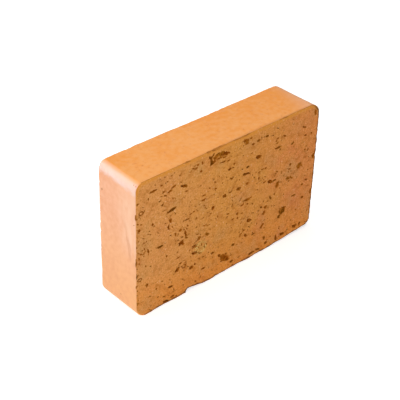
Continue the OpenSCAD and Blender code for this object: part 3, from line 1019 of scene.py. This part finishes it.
pores = {
    "seed": 7,
    "lumps": 7,  # different shapes that the cutters are copied from, at each fineness
    "lumpClouds": 0.75,  # size of the dents in a lump of radius 1
    "lumpsApart": (7.3, 5.1),  # each lump lies in other clouds
    "kinds": {
        # up to so long (mm): fineness and dents of the lump, then roughening at real size
        "small": {"longest": 2.6, "fineness": 1, "dents": 0.5, "rough": None},
        "middling": {"longest": 5.6, "fineness": 2, "dents": 0.7, "rough": (1.2, 0.9)},
        "large": {"longest": 99, "fineness": 3, "dents": 0.8, "rough": (1.7, 1.5)},
    },
    "clearance": 0.75,  # cutters this share of their length apart can be cut in one round
    "raggedFrom": 3.2,  # tears this long have bites round their rim
    "bites": {
        "perMm": 0.3,  # of the tear's length and width
        "out": (0.7, 1.08),  # share of the way from the tear's middle to its rim
        "width": (0.28, 0.55),  # share of the tear's shorter side
        "stretch": (1, 1.8),
        "depth": (0.35, 0.8),  # share of the tear's depth
        "turn": 35,
    },
    # Crumbly places of the front: middle, reach in mm and how many small pores besides
    "crumbly": [
        (-50, 83, 15, 30), (-65, 69, 6, 9), (-107, 70, 6, 9), (-80, 114, 12, 10), (-60, 35, 8, 8),
        (-41, 54, 8, 12), (8, 75, 13, 14), (35, 92, 11, 9), (68, 78, 14, 14), (91, 78, 7, 8),
        (100, 98, 4, 5), (20, 32, 12, 8), (46, 31, 9, 7), (0, 108, 12, 8), (75, 10, 24, 9),
    ],
    "smallFront": 260,
    "smallBack": 380,
    "middlingBack": 110,
    "leftArris": 34,
    "leftArrisTilt": 40,  # either way
    "chipsBack": 16,
    # Length, width and depth, each from and to, mm
    "smallSize": ((0.9, 3.0), (0.6, 1.4), (0.6, 1.4)),
    "crumblySize": ((0.9, 2.8), (0.6, 1.5), (0.4, 0.9)),
    "leftArrisSize": ((0.8, 2), (0.8, 2.2), (0.6, 1.2)),
    "chipSize": ((5, 14), (1.8, 3.4), (1.1, 1.8)),
    "middlingGrowth": (1.6, 3.4),  # how much larger than small ones the middling pores are
    "leftArrisPlace": ((0.4, 3), (15, 128)),  # in from the left header and up, mm
    "chipPlace": ((-95, 95), (20, 125)),  # along the level arrises and up the others
    "tilt": -15,
    "tiltSpread": 28,
    "clusterSize": 34,
    "thinning": (0.55, 0.9),  # share of the pores that stays, and how much it varies in clusters
    "bareAtTop": 5,  # the wire leaves a closed strip along the upper arris
}

# Each face as seen from outside: its right, its up, its outward direction and its foot
faceFrames = {
    "front": ((1, 0, 0), (0, 0, 1), (0, -1, 0), (0, -halfThick, 0)),
    "back": ((-1, 0, 0), (0, 0, 1), (0, 1, 0), (0, halfThick, 0)),
    "left": ((0, -1, 0), (0, 0, 1), (-1, 0, 0), (-halfLength, 0, 0)),
}


def makeLump(kind, number, setup):
    # A ball of clay dented by clouds, modelled a metre in radius: size comes with each copy
    fineness = kind["fineness"]
    apart, kindsApart = setup["lumpsApart"]
    bpy.ops.object.select_all(action="DESELECT")
    bpy.ops.mesh.primitive_ico_sphere_add(
        subdivisions=fineness, location=(number * apart, fineness * kindsApart, 0),
    )
    lump = bpy.context.object
    depth = 2 if fineness > 2 else 1
    roughen(lump, setup["lumpClouds"] / mm, kind["dents"] / mm, depth=depth, coords="GLOBAL")
    lump.location = (0, 0, 0)
    return lump


def placeLump(lump, face, x, z, long, wide, deep, tilt, clay):
    right, up, out, foot = (Vector(part) for part in faceFrames[face])
    ontoFace = Matrix.Translation(foot) @ Matrix((right, up, out)).transposed().to_4x4()
    copy = lump.copy()
    copy.data = lump.data.copy()
    size = Matrix.Diagonal((long / 2 * mm, wide / 2 * mm, deep * mm, 1))
    turn = Matrix.Rotation(math.radians(tilt), 4, "Z")
    copy.data.transform(ontoFace @ Matrix.Translation((x * mm, z * mm, 0)) @ turn @ size)
    bpy.context.collection.objects.link(copy)
    dress(copy, clay)
    return copy


def drawEach(dice, ranges):
    return [dice.uniform(*limits) for limits in ranges]


def biteRound(tear, setup, dice):
    # Small bites that make the rim of a tear ragged
    x, z, long, wide, deep, tilt = tear
    bites = []
    turn = math.radians(tilt)
    for _ in range(round(setup["perMm"] * (long + wide))):
        angle = dice.uniform(0, 2 * math.pi)
        out = dice.uniform(*setup["out"])
        along, over = long / 2 * math.cos(angle) * out, wide / 2 * math.sin(angle) * out
        width = min(long, wide) * dice.uniform(*setup["width"])
        length = width * dice.uniform(*setup["stretch"])
        depth = deep * dice.uniform(*setup["depth"])
        bites.append((
            x + along * math.cos(turn) - over * math.sin(turn),
            z + along * math.sin(turn) + over * math.cos(turn),
            length, width, depth, tilt + dice.gauss(0, setup["turn"]),
        ))
    return bites


def scatterSmall(face, small, middling, setup, dice):
    # Small pores in clusters, and with them the middling ones of the unseen back
    wanted = []
    halfL, high = halfLength / mm, height / mm
    stays, varies = setup["thinning"]
    left = small + middling
    while left > 0:
        x, z = dice.uniform(-halfL + 1, halfL - 1), dice.uniform(1, high - 1)
        long, wide, deep = drawEach(dice, setup["smallSize"])
        tilt = dice.gauss(setup["tilt"], setup["tiltSpread"])
        thick = noise.noise(Vector((x, 50 if face == "back" else 0, z)) / setup["clusterSize"])
        if dice.random() > stays + varies * thick or z > high - setup["bareAtTop"]:
            continue
        if left <= middling:
            least, most = setup["middlingGrowth"]
            grow = dice.uniform(least, most)
            long, wide, deep = long * grow, wide * grow, deep * min(grow, least)
        wanted.append((face, x, z, long, wide, deep, tilt, torn))
        left -= 1
    return wanted


def scatterCrumbly(setup, dice):
    # More small pores in the crumbly places and down the left arris of the front
    wanted = []
    for x, z, reach, count in setup["crumbly"]:
        for _ in range(count):
            along, up = dice.gauss(x, 0.5 * reach), max(2, dice.gauss(z, 0.5 * reach))
            size = drawEach(dice, setup["crumblySize"])
            wanted.append(("front", along, up, *size, dice.gauss(setup["tilt"], setup["tiltSpread"]), torn))
    most = setup["leftArrisTilt"]
    for _ in range(setup["leftArris"]):
        inwards, up = drawEach(dice, setup["leftArrisPlace"])
        size = drawEach(dice, setup["leftArrisSize"])
        wanted.append(("front", inwards - halfLength / mm, up, *size, dice.uniform(-most, most), torn))
    return wanted


def scatterChips(setup, dice):
    # Chips in the arrises of the unseen back
    wanted = []
    halfL, high = halfLength / mm, height / mm
    level, upright = setup["chipPlace"]
    for _ in range(setup["chipsBack"]):
        x, z, tilt = dice.choice((
            (dice.uniform(*level), 0, 0), (dice.uniform(*level), high, 0),
            (-halfL, dice.uniform(*upright), 90), (halfL, dice.uniform(*upright), 90),
        ))
        wanted.append(("back", x, z, *drawEach(dice, setup["chipSize"]), tilt, broken))
    return wanted


def listPores(setup, dice):
    # All that is pressed into the faces, each with its face in front and its clay at the end
    wanted = [("front", *tear, torn) for tear in tearsSeen]
    wanted += [("front", *chip, broken) for chip in chipsSeen]
    wanted += [("left", *mark, torn) for mark in headerMarks]
    for tear in tearsSeen:
        if max(tear[2], tear[3]) >= setup["raggedFrom"]:
            wanted += [("front", *bite, torn) for bite in biteRound(tear, setup["bites"], dice)]
    wanted += scatterSmall("front", setup["smallFront"], 0, setup, dice)
    wanted += scatterSmall("back", setup["smallBack"], setup["middlingBack"], setup, dice)
    wanted += scatterCrumbly(setup, dice)
    wanted += scatterChips(setup, dice)
    for face, *pore, clay in list(wanted):
        if face == "back" and clay == torn and max(pore[2], pore[3]) >= setup["raggedFrom"]:
            wanted += [("back", *bite, torn) for bite in biteRound(pore, setup["bites"], dice)]
    return wanted


def isClear(group, face, x, z, reach):
    for otherFace, otherX, otherZ, otherReach, _ in group:
        if otherFace == face and math.hypot(x - otherX, z - otherZ) <= reach + otherReach:
            return False
    return True


def sortIntoRounds(wanted, setup):
    # Cutters of a kind are cut together, and those that overlap go into different rounds
    kinds = setup["kinds"]
    rounds = []
    for pore in sorted(wanted, key=lambda p: -max(p[3], p[4])):
        face, x, z, long, wide, *_ = pore
        size = max(long, wide)
        kind = next(name for name in kinds if size < kinds[name]["longest"])
        place = (face, x, z, setup["clearance"] * size)
        for other, group in rounds:
            if other == kind and isClear(group, *place):
                break
        else:
            group = []
            rounds.append((kind, group))
        group.append((*place, pore))
    return rounds


def cutPores(block, setup):
    dice = random.Random(setup["seed"])
    kinds = setup["kinds"]
    lumps = {
        name: [makeLump(kind, number, setup) for number in range(setup["lumps"])]
        for name, kind in kinds.items()
    }
    rounds = sortIntoRounds(listPores(setup, dice), setup)
    for number, (kind, group) in enumerate(rounds):
        copies = [placeLump(dice.choice(lumps[kind]), *pore) for *_, pore in group]
        selectOnly(*copies)
        if len(copies) > 1:
            bpy.ops.object.join()
        cutter = bpy.context.view_layer.objects.active
        if kinds[kind]["rough"]:
            roughen(cutter, *kinds[kind]["rough"])
        cutAway(block, cutter)
        print("pores, round", number + 1, "of", len(rounds), "cut,", countTriangles(block), "triangles")
    for kind in lumps.values():
        for lump in kind:
            bpy.data.objects.remove(lump)


# Rings: a lump of grog stayed in, but the clay pulled away round it

rings = {
    "seen": [(-109, 115, 4.6), (-111, 43.5, 4.4), (-58.3, 33.1, 4.6)],  # along, up and width, mm
    "groove": 0.6,  # radius of the groove round the lump
    "proud": 0.15,  # its middle stands so far out of the face
    "squash": 0.75,
    "steps": (28, 8),
    "rough": (2, 1.6),
}


def cutRings(block, setup):
    around, through = setup["steps"]
    for x, z, width in setup["seen"]:
        bpy.ops.object.select_all(action="DESELECT")
        bpy.ops.mesh.primitive_torus_add(
            major_segments=around, minor_segments=through,
            major_radius=width / 2 * mm, minor_radius=setup["groove"] * mm,
            location=(x * mm, -halfThick + setup["proud"] * mm, z * mm), rotation=(math.pi / 2, 0, 0),
        )
        ring = bpy.context.object
        ring.scale = (1, setup["squash"], 1)
        bpy.ops.object.transform_apply(location=True, rotation=True, scale=True)
        dress(ring, torn)
        roughen(ring, *setup["rough"])
        cutAway(block, ring)


def clearCrumbs(block):
    # Slivers of clay that overlapping tears have cut loose fall off, and the brick itself stays
    selectOnly(block)
    bpy.ops.object.mode_set(mode="EDIT")
    bpy.ops.mesh.select_mode(type="FACE")
    bpy.ops.mesh.select_all(action="DESELECT")
    mesh = bmesh.from_edit_mesh(block.data)
    widest = max(mesh.faces, key=lambda face: face.calc_area())
    widest.select_set(True)
    bmesh.update_edit_mesh(block.data)
    bpy.ops.mesh.select_linked()
    bpy.ops.mesh.select_all(action="INVERT")
    bpy.ops.mesh.delete(type="VERT")
    bpy.ops.object.mode_set(mode="OBJECT")


cutRings(block, rings)
cutPores(block, pores)
clearCrumbs(block)


# Finish

sharpFrom = 35  # degrees between two faces from which their edge stays sharp


def finishBrick(brick):
    # The clays use how far each point is inside the outline, from a broken arris and from a tear
    mesh = brick.data
    measures = {"fromOutline": fromOutline}
    for name, clay in (("fromBreak", broken), ("fromTear", torn)):
        points = {point for face in mesh.polygons if face.material_index == clay for point in face.vertices}
        nearest = kdtree.KDTree(len(points))
        for point in points:
            nearest.insert(mesh.vertices[point].co, point)
        nearest.balance()
        measures[name] = lambda co, nearest=nearest: nearest.find(co)[2]
    for name, measure in measures.items():
        distance = mesh.attributes.new(name, "FLOAT", "POINT")
        for vertex, value in zip(mesh.vertices, distance.data):
            value.value = measure(vertex.co)
    selectOnly(brick)
    bpy.ops.object.shade_smooth_by_angle(angle=math.radians(sharpFrom))


finishBrick(block)
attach(block, "root")
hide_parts("brick")
print("brick finished,", countTriangles(block), "triangles")


# Floor and light

stage = {
    "floorSize": 6,
    "floorColour": "F4F4F4",
    "floorGlow": 0.55,  # what the eye sees of it besides its paint, so that it meets the white behind
    "worldLight": 0.2,
    "key": {"from": (-0.60, 0.60, 0.54), "distance": 1.3, "size": 0.7, "power": 9.5},
    "fill": {"from": (-0.43, -0.83, 0.45), "distance": 1.5, "size": 1.0, "power": 9.8},
    "top": {"from": (0.0, -0.1, 1.0), "distance": 1.4, "size": 1.0, "power": 5},
}


def addLamp(name, setup):
    data = bpy.data.lights.new(name, "AREA")
    data.size = setup["size"]
    data.energy = setup["power"]
    lamp = bpy.data.objects.new(name, data)
    bpy.context.collection.objects.link(lamp)
    towards = Vector(setup["from"]).normalized()
    lamp.location = Vector((0, 0, height / 2)) + towards * setup["distance"]
    lamp.rotation_euler = towards.to_track_quat("Z", "Y").to_euler()


def whenSeen(tree):
    # 1 for what the camera, a reflection or a transmitted ray sees
    path = addNode(tree, "LightPath").outputs
    seen = addNode(tree, "Math", {0: path["Is Camera Ray"], 1: path["Is Glossy Ray"]}, operation="ADD")
    return addNode(tree, "Math", {0: seen, 1: path["Is Transmission Ray"]}, operation="ADD", use_clamp=True)


def makeStage(setup):
    bpy.ops.object.select_all(action="DESELECT")
    bpy.ops.mesh.primitive_plane_add(size=setup["floorSize"], location=(0, 0, 0))
    floor = bpy.context.object
    floor.name = "floor"
    material = bpy.data.materials.new("paleFloor")
    material.use_nodes = True
    tree = material.node_tree
    tree.nodes.clear()
    paint = addNode(tree, "BsdfDiffuse", {"Color": fromHex(setup["floorColour"])})
    glow = addNode(tree, "Emission", {"Strength": setup["floorGlow"]})
    both = addNode(tree, "AddShader", {0: paint, 1: glow})
    surface = addNode(tree, "MixShader", {0: whenSeen(tree), 1: paint, 2: both})
    addNode(tree, "OutputMaterial", {"Surface": surface})
    floor.data.materials.append(material)
    for name in ("key", "fill", "top"):
        addLamp(name + "Lamp", setup[name])
    world = bpy.data.worlds.new("studio")
    world.use_nodes = True
    tree = world.node_tree
    tree.nodes.clear()
    dim = addNode(tree, "Background", {"Color": (1, 1, 1, 1), "Strength": setup["worldLight"]})
    white = addNode(tree, "Background", {"Color": (1, 1, 1, 1), "Strength": 1})
    surface = addNode(tree, "MixShader", {0: whenSeen(tree), 1: dim, 2: white})
    addNode(tree, "OutputWorld", {"Surface": surface})
    bpy.context.scene.world = world
    bpy.context.scene.view_settings.view_transform = "Standard"


makeStage(stage)
print("stage set")
